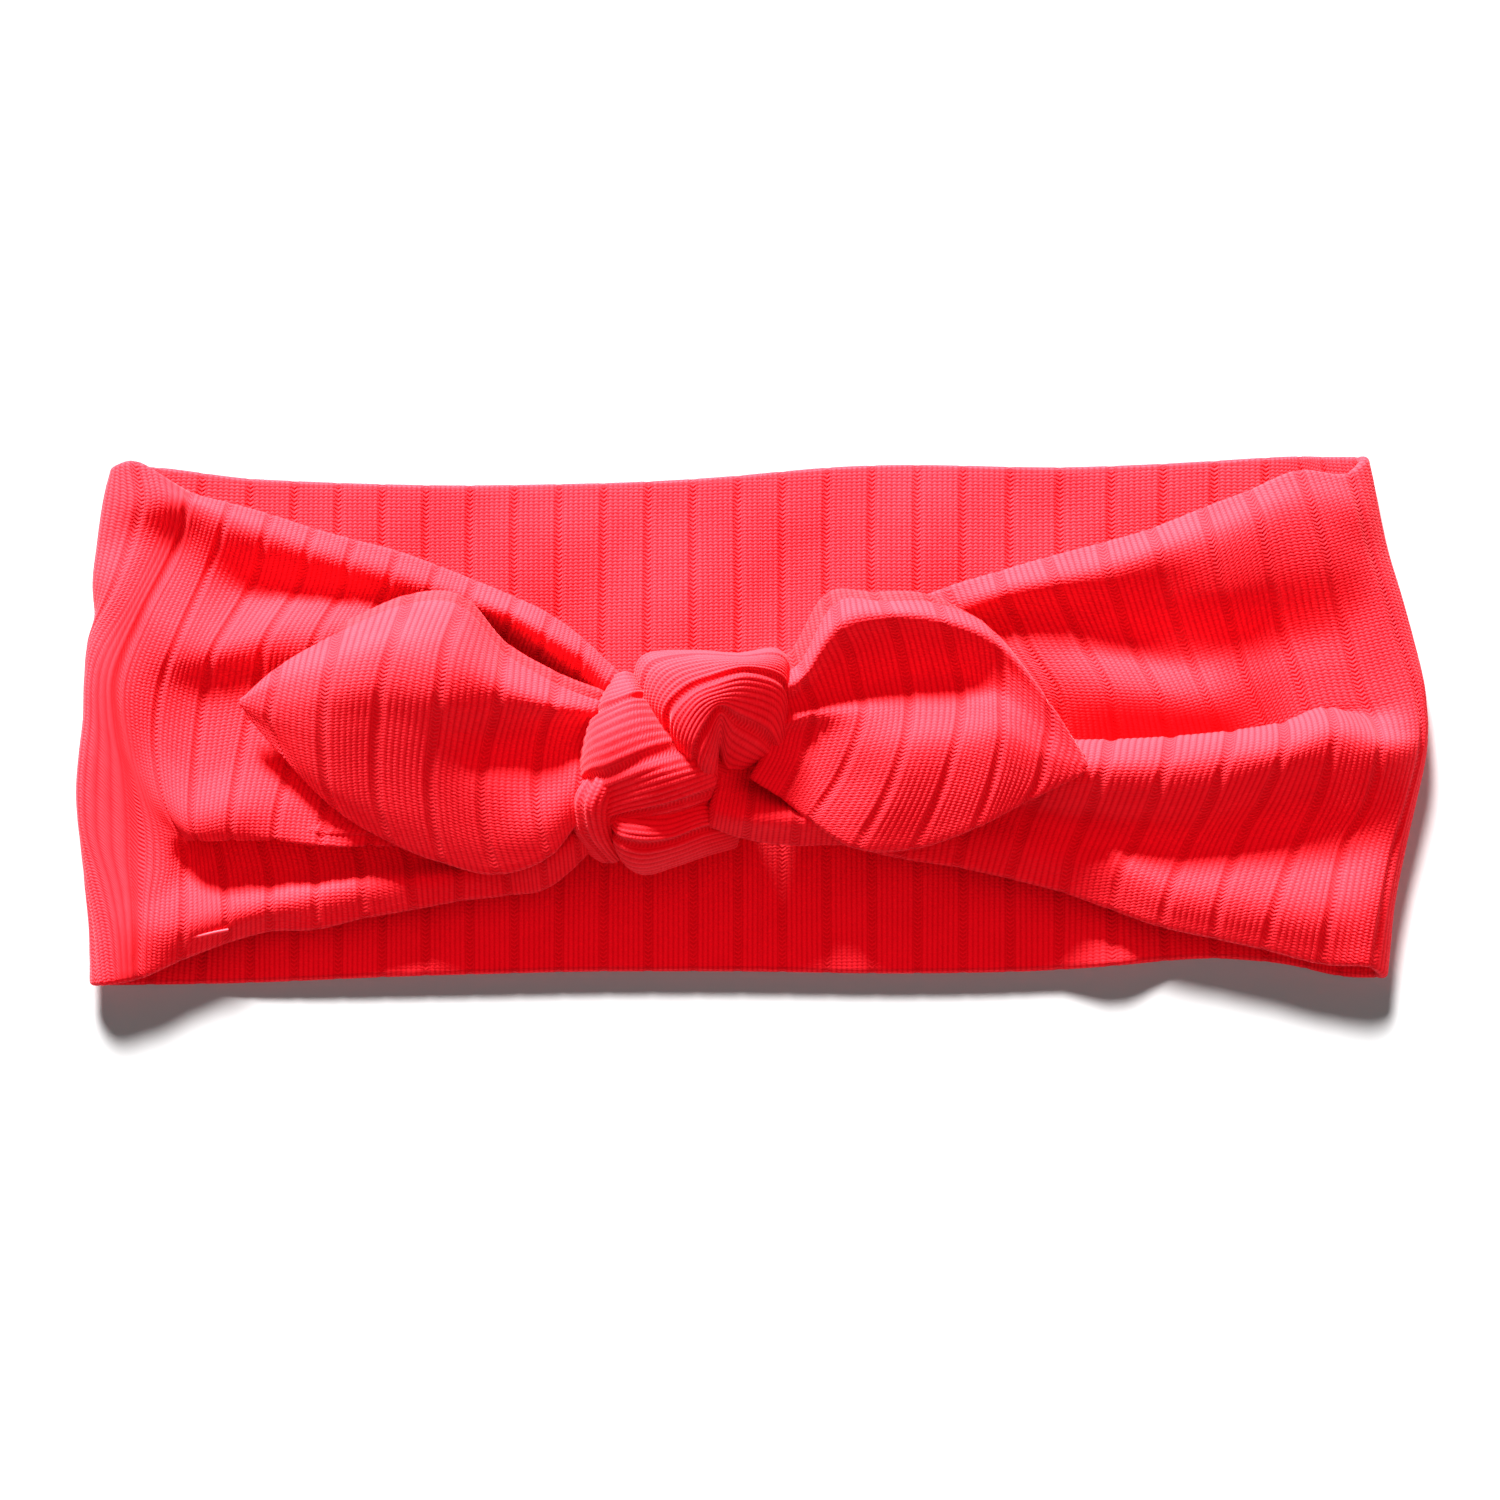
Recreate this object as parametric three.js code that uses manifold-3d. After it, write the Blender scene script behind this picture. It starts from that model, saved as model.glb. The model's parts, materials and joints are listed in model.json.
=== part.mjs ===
// A knotted bow headband of doubled rib knit, lying flat as a closed loop.
//
// Millimetres, +Z up. X runs along the band and Y across it. The origin is on the surface the
// band lies on, under the middle of its outline. The back of the loop is underneath, the front
// with the knot and its two ears is on top, and the loop turns back on itself at two side folds.
//
// The loop opens as a hexagon with six equal sides: the back bends at two lines, the front bends
// at two lines above them, and the side folds are its other two corners.
import * as THREE from "three";
import { mergeVertices } from "three/addons/utils/BufferGeometryUtils.js";
import Module from "manifold-3d";

const wasm = await Module();
wasm.setup();

// ---------- driving dimensions ----------
const FOLD_X = 118; // from the middle of the band to the outermost point of each side fold
const BEND_X = FOLD_X / 3; // the bending lines of the opening loop
const CORNER_Y = 46.1; // half the band's width, measured over its corners
const LAYER = 1.0; // thickness of one layer of rib knit
const GAP = 0.3; // air between pieces that touch
const HEAD_GAP = 5.4; // air between the back and the front, where the head goes
const PLEAT = 2.0; // thickness of a pleat, which is the doubled cloth
const THREAD = 0.5; // diameter of the sewing thread

// ---------- heights, from the surface up ----------
const BACK_OUTER_Z = 0;
const BACK_LINING_Z = BACK_OUTER_Z + LAYER + GAP;
const BACK_TOP_Z = BACK_LINING_Z + LAYER;
const FRONT_LINING_Z = BACK_TOP_Z + HEAD_GAP;
const FRONT_OUTER_Z = FRONT_LINING_Z + LAYER + GAP;
const FRONT_TOP_Z = FRONT_OUTER_Z + LAYER;
const PLEAT_Z = FRONT_TOP_Z + GAP;
const EAR_BACK_Z = PLEAT_Z + PLEAT + GAP;
const EAR_FRONT_Z = EAR_BACK_Z + LAYER + GAP;
const FOLD_RADIUS = FRONT_TOP_Z / 2; // the side folds are half circles over the whole height
const SEAM_INSET = THREAD + GAP; // the cloth stops this far inside its seam

// ---------- how finely curves are drawn ----------
const EDGE_SAMPLES = 80;
const PLATE_STEPS = 8;
const FOLD_STEPS = 10;
const THREAD_STEPS = 12;
const EAR_SEAM_STEPS = 36;
const ROUND_SEGMENTS = 3;

// ---------- cloth and thread ----------
const cloth = (color) => new THREE.MeshStandardMaterial({ color, roughness: 0.9, metalness: 0 });
const RIB_KNIT = cloth(0xf2304e);
const LINING_KNIT = cloth(0xe8353a);
const SEWING_THREAD = cloth(0xff7f86);

// ---------- the object's tree ----------
const headband = new THREE.Group();

function add(group, name, geometry, material, z = 0) {
  const mesh = new THREE.Mesh(geometry, material);
  mesh.name = name;
  mesh.position.z = z;
  group.add(mesh);
  return mesh;
}

function section() {
  const group = new THREE.Group();
  headband.add(group);
  return group;
}

// ---------- outlines, seen from above ----------
const vectors = (points) => points.map(([x, y]) => new THREE.Vector2(x, y));

// An edge as a function: the y of a smooth curve through the points, at any x between them.
function edge(points) {
  const samples = new THREE.SplineCurve(vectors(points)).getPoints(EDGE_SAMPLES);
  return (x) => {
    const found = samples.findIndex((sample) => sample.x >= x);
    const next = found < 0 ? samples.length - 1 : Math.max(found, 1);
    const a = samples[next - 1];
    const b = samples[next];
    return a.y + ((b.y - a.y) * (x - a.x)) / (b.x - a.x);
  };
}

const BACK_UPPER = edge([[-112, 42.8], [-68, 40.4], [-6, 41.5], [13, 43.2], [60, 43.4], [108, 46.1]]);
const BACK_LOWER = edge([[-115, -46.1], [-34, -43.2], [61, -42.4], [81, -40.8], [111, -44.6]]);
const FRONT_LEFT_UPPER = edge([[-112, 43.6], [-94, 38.2], [-60, 28.4], [-39, 20], [-31, 14]]);
const FRONT_LEFT_LOWER = edge([[-115, -46.1], [-86, -38.5], [-54, -31.5], [-31, -28]]);
const FRONT_RIGHT_UPPER = edge([[7, 4], [24, 16], [37, 23.3], [61, 30.3], [87, 39.6], [108, 46.1]]);
const FRONT_RIGHT_LOWER = edge([[7, -20.9], [26, -22.8], [46, -27.3], [60, -31.2], [111, -44.6]]);

// A side fold bows outwards: its outermost x at any y, pulled in towards the corners.
const BOW_POWER = 1.3;
const LEFT_FOLD = { side: -1, middleY: -8, topInset: 5.8, bottomInset: 3, top: 44.8, bottom: -CORNER_Y };
const RIGHT_FOLD = { side: 1, middleY: -2, topInset: 10.2, bottomInset: 6.9, top: CORNER_Y, bottom: -44.6 };

function foldX(fold, y) {
  const above = y > fold.middleY;
  const reach = (y - fold.middleY) / ((above ? CORNER_Y : -CORNER_Y) - fold.middleY);
  const inset = (above ? fold.topInset : fold.bottomInset) * Math.min(reach, 1) ** BOW_POWER;
  return fold.side * (FOLD_X - inset);
}

// Where a flat layer stops and the round fold starts.
const beforeFold = (fold) => (y) => foldX(fold, y) - fold.side * (FOLD_RADIUS + GAP);
const straight = (x) => () => x;

const inside = (curve, by) => (x) => curve(x) + by;
const steps = (count) => Array.from({ length: count + 1 }, (_, i) => i / count);

// A stretch of the band between two edges and two ends. Each end is an x that may vary with y.
function stretch(lower, upper, start, end) {
  const low = inside(lower, SEAM_INSET);
  const high = inside(upper, -SEAM_INSET);
  const corner = (side, curve) => side(curve(side(curve(0))));
  const alongX = (curve) =>
    steps(PLATE_STEPS).map((t) => {
      const x = THREE.MathUtils.lerp(corner(start, curve), corner(end, curve), t);
      return new THREE.Vector2(x, curve(x));
    });
  const bottom = alongX(low);
  const top = alongX(high).reverse();
  const alongY = (side, from, to) =>
    steps(PLATE_STEPS).slice(1, -1).map((t) => {
      const y = THREE.MathUtils.lerp(from.y, to.y, t);
      return new THREE.Vector2(side(y), y);
    });
  return new THREE.Shape([
    ...bottom,
    ...alongY(end, bottom.at(-1), top[0]),
    ...top,
    ...alongY(start, top.at(-1), bottom[0]),
  ]);
}

const plate = (shape, depth) =>
  new THREE.ExtrudeGeometry(shape, { depth, bevelEnabled: false, curveSegments: ROUND_SEGMENTS });

// ---------- sewing thread: a round section along a curve ----------
const threadSection = new THREE.Shape().absarc(0, 0, THREAD / 2, 0, 2 * Math.PI);

function thread(points, sections = THREAD_STEPS) {
  const path = new THREE.CatmullRomCurve3(points.map(([x, y, z]) => new THREE.Vector3(x, y, z)));
  const options = { extrudePath: path, steps: sections, curveSegments: ROUND_SEGMENTS };
  return new THREE.ExtrudeGeometry(threadSection, options);
}

// The seam along a turned edge, with its thread level with the middle of the two layers.
function edgeSeam(curve, outwards, xFrom, xTo, z) {
  const centre = inside(curve, (-outwards * THREAD) / 2);
  return thread(
    steps(PLATE_STEPS).map((t) => {
      const x = THREE.MathUtils.lerp(xFrom, xTo, t);
      return [x, centre(x), z];
    }),
  );
}

// ---------- band panels: an outer layer, a lining, and a seam along each long edge ----------
const half = GAP / 2;
const BACK_HEIGHTS = { outer: BACK_OUTER_Z, lining: BACK_LINING_Z, seam: BACK_LINING_Z - half };
const FRONT_HEIGHTS = { outer: FRONT_OUTER_Z, lining: FRONT_LINING_Z, seam: FRONT_OUTER_Z - half };

function panel(group, name, [lower, upper], [start, end], heights) {
  const shape = stretch(lower, upper, start, end);
  add(group, `${name}_outer`, plate(shape, LAYER), RIB_KNIT, heights.outer);
  add(group, `${name}_lining`, plate(shape, LAYER), LINING_KNIT, heights.lining);
  const seam = (curve, outwards) =>
    edgeSeam(curve, outwards, start(curve(start(0))), end(curve(end(0))), heights.seam);
  add(group, `${name}_top_seam`, seam(upper, 1), SEWING_THREAD);
  add(group, `${name}_bottom_seam`, seam(lower, -1), SEWING_THREAD);
}

const backMiddle = section();
const backLeft = section();
const backRight = section();
const frontLeft = section();
const frontRight = section();
const leftNeck = section();
const rightNeck = section();

const LEFT_BEND = straight(-BEND_X - half);
const LEFT_OF_MIDDLE = straight(-BEND_X + half);
const RIGHT_OF_MIDDLE = straight(BEND_X - half);
const RIGHT_BEND = straight(BEND_X + half);
const LEFT_KNOT_ENTRY = straight(-32);
const RIGHT_KNOT_ENTRY = straight(7.5);

const BACK = [BACK_LOWER, BACK_UPPER];
const FRONT_LEFT = [FRONT_LEFT_LOWER, FRONT_LEFT_UPPER];
const FRONT_RIGHT = [FRONT_RIGHT_LOWER, FRONT_RIGHT_UPPER];

panel(backMiddle, "back_middle", BACK, [LEFT_OF_MIDDLE, RIGHT_OF_MIDDLE], BACK_HEIGHTS);
panel(backLeft, "back_left", BACK, [beforeFold(LEFT_FOLD), LEFT_BEND], BACK_HEIGHTS);
panel(backRight, "back_right", BACK, [RIGHT_BEND, beforeFold(RIGHT_FOLD)], BACK_HEIGHTS);
panel(frontLeft, "front_left", FRONT_LEFT, [beforeFold(LEFT_FOLD), LEFT_BEND], FRONT_HEIGHTS);
panel(frontRight, "front_right", FRONT_RIGHT, [RIGHT_BEND, beforeFold(RIGHT_FOLD)], FRONT_HEIGHTS);
panel(leftNeck, "left_neck", FRONT_LEFT, [LEFT_OF_MIDDLE, LEFT_KNOT_ENTRY], FRONT_HEIGHTS);
panel(rightNeck, "right_neck", FRONT_RIGHT, [RIGHT_KNOT_ENTRY, RIGHT_OF_MIDDLE], FRONT_HEIGHTS);

// ---------- side folds: half rings over the full height, parted at mid height ----------
// The doubled cloth turns through a half circle. Its lower quarter belongs to the back and its
// upper quarter to the front, and they meet at the outermost line, which the loop opens about.
const foldInnerRadius = FOLD_RADIUS - 2 * LAYER - GAP;
const partingAngle = Math.asin(half / foldInnerRadius);

function foldQuarter(fold, upper) {
  const outermost = fold.side < 0 ? Math.PI : 0;
  const turn = (upper ? 1 : -1) * fold.side;
  const from = outermost + turn * partingAngle;
  const to = outermost + (turn * Math.PI) / 2;
  const quarter = new THREE.Shape();
  quarter.absarc(0, 0, FOLD_RADIUS, from, to, turn < 0);
  quarter.absarc(0, 0, foldInnerRadius, to, from, turn > 0);
  const depth = fold.top - fold.bottom;
  const options = { depth, steps: FOLD_STEPS, bevelEnabled: false, curveSegments: ROUND_SEGMENTS };
  const geometry = new THREE.ExtrudeGeometry(quarter, options);
  geometry.rotateX(Math.PI / 2);
  geometry.translate(0, fold.top, FOLD_RADIUS);
  const places = geometry.getAttribute("position");
  for (let i = 0; i < places.count; i += 1) {
    const centreX = foldX(fold, places.getY(i)) - fold.side * FOLD_RADIUS;
    places.setX(i, places.getX(i) + centreX);
  }
  return geometry;
}

add(backLeft, "left_fold_back", foldQuarter(LEFT_FOLD, false), RIB_KNIT);
add(frontLeft, "left_fold_front", foldQuarter(LEFT_FOLD, true), RIB_KNIT);
add(backRight, "right_fold_back", foldQuarter(RIGHT_FOLD, false), RIB_KNIT);
add(frontRight, "right_fold_front", foldQuarter(RIGHT_FOLD, true), RIB_KNIT);

// ---------- pleats: where the gathered front laps over itself ----------
const LEFT_PLEAT_UPPER = edge([[-101, -5], [-80, -6], [-60, -8], [-38, -10]]);
const LEFT_PLEAT_LOWER = edge([[-101, -21], [-80, -21.8], [-60, -23.2], [-38, -23]]);
const RIGHT_PLEAT_UPPER = edge([[38, -2], [70, -2], [92, 0], [112, 3.5]]);
const RIGHT_PLEAT_LOWER = edge([[38, -13], [70, -16], [92, -17], [112, -15]]);
const leftPleat = stretch(LEFT_PLEAT_LOWER, LEFT_PLEAT_UPPER, straight(-100), LEFT_BEND);
const rightPleat = stretch(RIGHT_PLEAT_LOWER, RIGHT_PLEAT_UPPER, RIGHT_BEND, straight(109));
add(frontLeft, "front_left_pleat", plate(leftPleat, PLEAT), RIB_KNIT, PLEAT_Z);
add(frontRight, "front_right_pleat", plate(rightPleat, PLEAT), RIB_KNIT, PLEAT_Z);

// The opening that the band was turned through is closed by a few hand stitches near its edge.
const stitchZ = PLEAT_Z + THREAD / 2;
const closingStitch = thread([[-98.2, -38.2, stitchZ], [-95, -37.6, stitchZ], [-91.4, -36.7, stitchZ]]);
add(frontLeft, "closing_stitch", closingStitch, SEWING_THREAD);

// ---------- ears: leaf shapes of two layers with a seam round their free edge ----------
const LEFT_EAR = {
  name: "left_ear",
  root: [[-32, 3.4], [-32, -19]],
  upper: [[-44, 12], [-52, 19.8], [-60, 19.8], [-73, 14]],
  tip: [-89.2, 3.5],
  lower: [[-73, -15.6], [-57, -23.3], [-46, -26.6], [-39, -25.2]],
};
const RIGHT_EAR = {
  name: "right_ear",
  root: [[7.6, 9], [7.6, -12]],
  upper: [[14.8, 19.4], [28.8, 20.1], [40.5, 15.9], [51, 4.6]],
  tip: [58.4, -7.9],
  lower: [[48.4, -14.2], [36.7, -19.3], [25, -22.4], [13, -18.6]],
};
const EAR_TRIM = 0.95; // the layers' outline over the seam's

function ear(outline) {
  const group = section();
  const [rootTop, rootBottom] = outline.root;
  const upperEdge = [rootTop, ...outline.upper, outline.tip];
  const lowerEdge = [outline.tip, ...outline.lower, rootBottom];
  const middle = new THREE.Vector2((rootTop[0] + outline.tip[0]) / 2, (rootTop[1] + rootBottom[1]) / 2);
  const trimmed = (points) =>
    vectors(points).map(({ x, y }) =>
      new THREE.Vector2(x === rootTop[0] ? x : (x - middle.x) * EAR_TRIM + middle.x,
        (y - middle.y) * EAR_TRIM + middle.y));
  const [start, ...upper] = trimmed(upperEdge);
  const [, ...lower] = trimmed(lowerEdge);
  const leaf = new THREE.Shape().moveTo(start.x, start.y).splineThru(upper).splineThru(lower);
  add(group, `${outline.name}_back`, plate(leaf, LAYER), LINING_KNIT, EAR_BACK_Z);
  add(group, `${outline.name}_front`, plate(leaf, LAYER), RIB_KNIT, EAR_FRONT_Z);
  const seamZ = EAR_FRONT_Z - half;
  const seamLine = [...upperEdge, ...lowerEdge.slice(1)].map(([x, y]) => [x, y, seamZ]);
  add(group, `${outline.name}_seam`, thread(seamLine, EAR_SEAM_STEPS), SEWING_THREAD);
}

ear(LEFT_EAR);
ear(RIGHT_EAR);

// ---------- the knot: rounded wraps that press on each other ----------
const KNOT_CENTRE_Z = 17.4;
const SPHERE_ROUND = 18;
const SPHERE_RISE = 12;
// Each wrap gives way to those before it. "turn" is its long axis's angle from +X, in degrees.
const WRAPS = [
  { name: "knot_middle_wrap", centre: [-16.5, -3.4, 0.6], halves: [14.5, 7.4, 9.2], turn: -62 },
  { name: "knot_upper_wrap", centre: [-6.6, 3.4, 0], halves: [13.2, 9.0, 8.8], turn: -4 },
  { name: "knot_left_roll", centre: [-27.4, -9.2, -1], halves: [13.2, 4.4, 7.6], turn: -83 },
  { name: "knot_lower_lobe", centre: [-14.4, -19.4, -1.2], halves: [12.2, 7.0, 7.8], turn: 4 },
  { name: "knot_core", centre: [-9, -9.5, -2.4], halves: [12, 11, 7.2], turn: -30 },
];

function ellipsoid({ centre, halves, turn }, grow) {
  const geometry = new THREE.SphereGeometry(1, SPHERE_ROUND, SPHERE_RISE);
  geometry.scale(...halves.map((halfAxis) => halfAxis + grow));
  geometry.rotateZ(THREE.MathUtils.degToRad(turn));
  geometry.translate(centre[0], centre[1], centre[2] + KNOT_CENTRE_Z);
  geometry.deleteAttribute("normal");
  geometry.deleteAttribute("uv");
  const merged = mergeVertices(geometry, 1e-4);
  return new wasm.Manifold(
    new wasm.Mesh({
      numProp: 3,
      vertProperties: merged.getAttribute("position").array,
      triVerts: new Uint32Array(merged.index.array),
    }),
  );
}

function geometryOf(solid) {
  const mesh = solid.getMesh();
  return new THREE.BufferGeometry()
    .setAttribute("position", new THREE.BufferAttribute(new Float32Array(mesh.vertProperties), 3))
    .setIndex(new THREE.BufferAttribute(new Uint32Array(mesh.triVerts), 1));
}

const knot = section();
WRAPS.forEach((wrap, index) => {
  const earlier = WRAPS.slice(0, index).map((neighbour) => ellipsoid(neighbour, GAP));
  const solid = earlier.reduce((left, neighbour) => left.subtract(neighbour), ellipsoid(wrap, 0));
  add(knot, wrap.name, geometryOf(solid), RIB_KNIT);
});

export default headband;
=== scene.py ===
import json
import math

import bpy
import numpy as np
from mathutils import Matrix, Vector

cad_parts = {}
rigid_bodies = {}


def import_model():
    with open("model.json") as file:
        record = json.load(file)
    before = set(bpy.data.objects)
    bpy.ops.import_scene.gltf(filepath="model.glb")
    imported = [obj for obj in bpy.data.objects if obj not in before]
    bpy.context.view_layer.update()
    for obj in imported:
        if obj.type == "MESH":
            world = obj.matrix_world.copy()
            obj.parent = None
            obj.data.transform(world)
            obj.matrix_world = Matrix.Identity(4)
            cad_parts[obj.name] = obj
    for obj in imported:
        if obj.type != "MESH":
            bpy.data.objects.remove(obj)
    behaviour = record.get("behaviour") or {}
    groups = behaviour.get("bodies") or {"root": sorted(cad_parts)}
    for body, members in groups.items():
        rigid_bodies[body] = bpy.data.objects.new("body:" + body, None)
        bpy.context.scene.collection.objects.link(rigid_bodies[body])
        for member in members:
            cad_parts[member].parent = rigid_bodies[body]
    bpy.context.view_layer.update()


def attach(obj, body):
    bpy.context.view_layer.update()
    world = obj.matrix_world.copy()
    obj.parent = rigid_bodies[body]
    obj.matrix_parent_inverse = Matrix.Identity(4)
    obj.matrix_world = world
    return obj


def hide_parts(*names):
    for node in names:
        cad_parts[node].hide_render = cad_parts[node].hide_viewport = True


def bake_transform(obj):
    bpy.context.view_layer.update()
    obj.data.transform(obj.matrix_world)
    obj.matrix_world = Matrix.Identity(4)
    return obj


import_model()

# All shapes below are worked out in millimetres and turned into metres when a mesh is made.
MM = 0.001

# The knit: one dropped-needle line, then seven wales, repeating along the band.
STRIPE = 7.7
DROP_HALF = 0.1
DROP_DEPTH = 0.26
WALES = 7
WALE_HEIGHT = 0.11

# The cloth: the band is two layers turned right side out, so each piece is a flat tube.
BAND_THICK = 1.8
EAR_THICK = 1.7
WRAP_THICK = 1.6
STEP_ACROSS = 6
EDGE_STEPS = 6
LINING_REACH = 7
RIM_RELIEF = 0.25
KNOT_RIBS = 1.9

# The lowest that a fold of the front may sit, near the side turns and away from them.
TURN_PLACE = 18
LEAST_NEAR_TURN = 8.2
LEAST_ELSEWHERE = 5

# ---------------------------------------------------------------- camera
camera = bpy.data.objects.new("camera", bpy.data.cameras.new("camera"))
bpy.context.scene.collection.objects.link(camera)
bpy.context.scene.camera = camera
camera.location = (-0.00026, -0.00525, 2.6)
camera.data.sensor_width = 36
camera.data.lens = 36 * 2.6 / 0.2625
camera.data.clip_end = 20

# ---------------------------------------------------------------- shape of the cloth
# Each row is one line across the cloth: (place along the knit in stripes, its points in mm).
# The points run from the upper edge to the lower one and lie on the outer face.
LEFT_FRONT = [
    (-16, [(-98, 39.5, 9.3), (-98.5, 37, 10.4), (-100.5, 29.5, 8), (-106, 18.5, 10.4),
        (-110.5, 7, 9.8), (-110, -3, 9), (-108.5, -9.5, 8.7), (-107.5, -15, 8.5),
        (-107, -20, 8.4), (-107, -25.5, 8.6), (-107, -31, 9), (-107, -37, 9.5),
        (-107, -44.5, 8.8)]),
    (-17, [(-91, 37.5, 9.2), (-92, 34, 10.8), (-95, 25.5, 7.6), (-100, 14, 11.3),
        (-103, 5.5, 10.2), (-104, -4.5, 9.8), (-102.5, -14.5, 10.8), (-99.5, -20, 10.6),
        (-99.5, -21.5, 9.4), (-99, -23, 8.4), (-99, -28, 8.2), (-99, -35.5, 10.2),
        (-99.5, -41.5, 8.6)]),
    (-18, [(-84, 35.5, 9), (-85, 31.5, 10.8), (-87.5, 23, 7.4), (-93.5, 12.5, 11.4),
        (-95.5, 4.5, 9.4), (-97, -8, 10.2), (-97.5, -17, 12.2), (-96.5, -21, 11.2),
        (-96, -18, 9.2), (-94.5, -17, 7.4), (-92.5, -25.5, 7.2), (-91.5, -33.5, 10),
        (-91.5, -38.5, 8.4)]),
    (-19, [(-76.5, 33, 9), (-77.5, 29, 10.6), (-79.5, 22.5, 7.6), (-84.5, 14, 11.2),
        (-86.5, 5, 9.2), (-89, -6.5, 10), (-90.5, -16, 12.4), (-90.5, -21, 11.2),
        (-89.5, -17.5, 9.2), (-88, -15, 7.2), (-84.5, -25.5, 7), (-84, -32, 9.8),
        (-84, -36.5, 8.2)]),
    (-20, [(-69.5, 31, 9), (-70.5, 27, 10.4), (-72, 21.5, 8), (-76, 14, 10.8), (-78, 4.5, 9.2),
        (-80.5, -7.5, 10), (-82.5, -16, 11.4), (-83, -21, 11.2), (-81.5, -17.5, 9.2),
        (-79.5, -15, 7.2), (-76.5, -25, 7), (-76, -30.5, 9.6), (-76, -36, 8.2)]),
    (-21, [(-62, 29, 9.2), (-63, 25, 10.4), (-65, 20.5, 8.4), (-68, 14, 10), (-70.5, 3.5, 9),
        (-72.5, -8, 9.8), (-74.5, -16.5, 10.6), (-75, -22, 11), (-73.5, -18, 9.2),
        (-71.5, -15.5, 7.2), (-68.5, -24, 7), (-68, -29, 9.4), (-67.5, -34, 8.2)]),
    (-22, [(-55, 26.5, 9.6), (-56, 23, 10.8), (-57.5, 18.5, 8.6), (-59.5, 12, 9.4),
        (-61.5, 2.5, 8.8), (-63.5, -9, 9.2), (-65.5, -17.5, 10), (-66.5, -22, 10.4),
        (-65, -18.5, 9), (-63, -16, 7.4), (-60, -24, 7.2), (-59.5, -28, 9.2), (-59, -32.5, 8.2)]),
    (-23, [(-48.5, 24, 10.2), (-49.5, 20.5, 11.6), (-51, 16.5, 8.6), (-52.5, 10.5, 8.8),
        (-54, 2.5, 8.6), (-56, -8, 8.8), (-57.5, -17, 10.2), (-58, -21.5, 9.8),
        (-56.5, -18.5, 8.8), (-54.5, -16.5, 7.6), (-52, -23, 7.4), (-51, -27, 9.2),
        (-51, -31, 8.4)]),
    (-24, [(-41, 21, 11.2), (-42, 18, 13), (-43.5, 14, 8.8), (-44.5, 9, 8.6), (-46, 2.5, 8.6),
        (-47.5, -7, 8.6), (-48.5, -15, 9.4), (-49, -19, 9.4), (-47.5, -17, 8.8), (-46, -16, 8),
        (-43.5, -22, 8), (-43, -25.5, 9.8), (-42.5, -30, 8.8)]),
    (-25, [(-35, 18, 12.4), (-36, 14.5, 14.2), (-37.5, 10.5, 9.4), (-38, 6.5, 9), (-39, 1.5, 9),
        (-40, -6, 9), (-41, -12.5, 9.4), (-41, -15, 9.4), (-40, -14.5, 9.2), (-39, -14.5, 8.8),
        (-37, -20, 9), (-36.5, -24, 11.4), (-36, -29, 9.8)]),
    (-26, [(-29, 13.5, 13.4), (-29.5, 10.5, 14.6), (-31, 6.5, 11), (-31.5, 3.5, 10.4),
        (-32.5, -0.5, 10.2), (-33, -5.5, 10.2), (-33, -10, 10.4), (-33, -12, 10.4),
        (-33, -12.5, 10.4), (-32.5, -13.5, 10.2), (-31.5, -16.5, 10.6), (-30.5, -20, 12.4),
        (-30, -24.5, 10.8)]),
    (-27, [(-23.5, 8, 14.4), (-24.5, 6, 15), (-25.5, 3.5, 13.2), (-26, 1, 13), (-26, -2, 12.8),
        (-26.5, -5, 12.6), (-26.5, -8.5, 12.6), (-26.5, -10, 12.6), (-26.5, -11, 12.6),
        (-26.5, -12, 12.6), (-26, -14.5, 12.4), (-26, -17, 12.6), (-26, -20, 12)]),
    (-28, [(-18.5, 4, 16), (-19, 2.5, 16.2), (-19, 1, 16), (-19.5, -0.5, 16), (-19.5, -2.5, 16),
        (-19.5, -5, 16), (-19.5, -7, 16), (-19.5, -8.5, 16), (-19.5, -9.5, 16), (-19.5, -11, 16),
        (-19, -12, 16), (-19, -14, 16), (-19, -16, 15.6)]),
]
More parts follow.
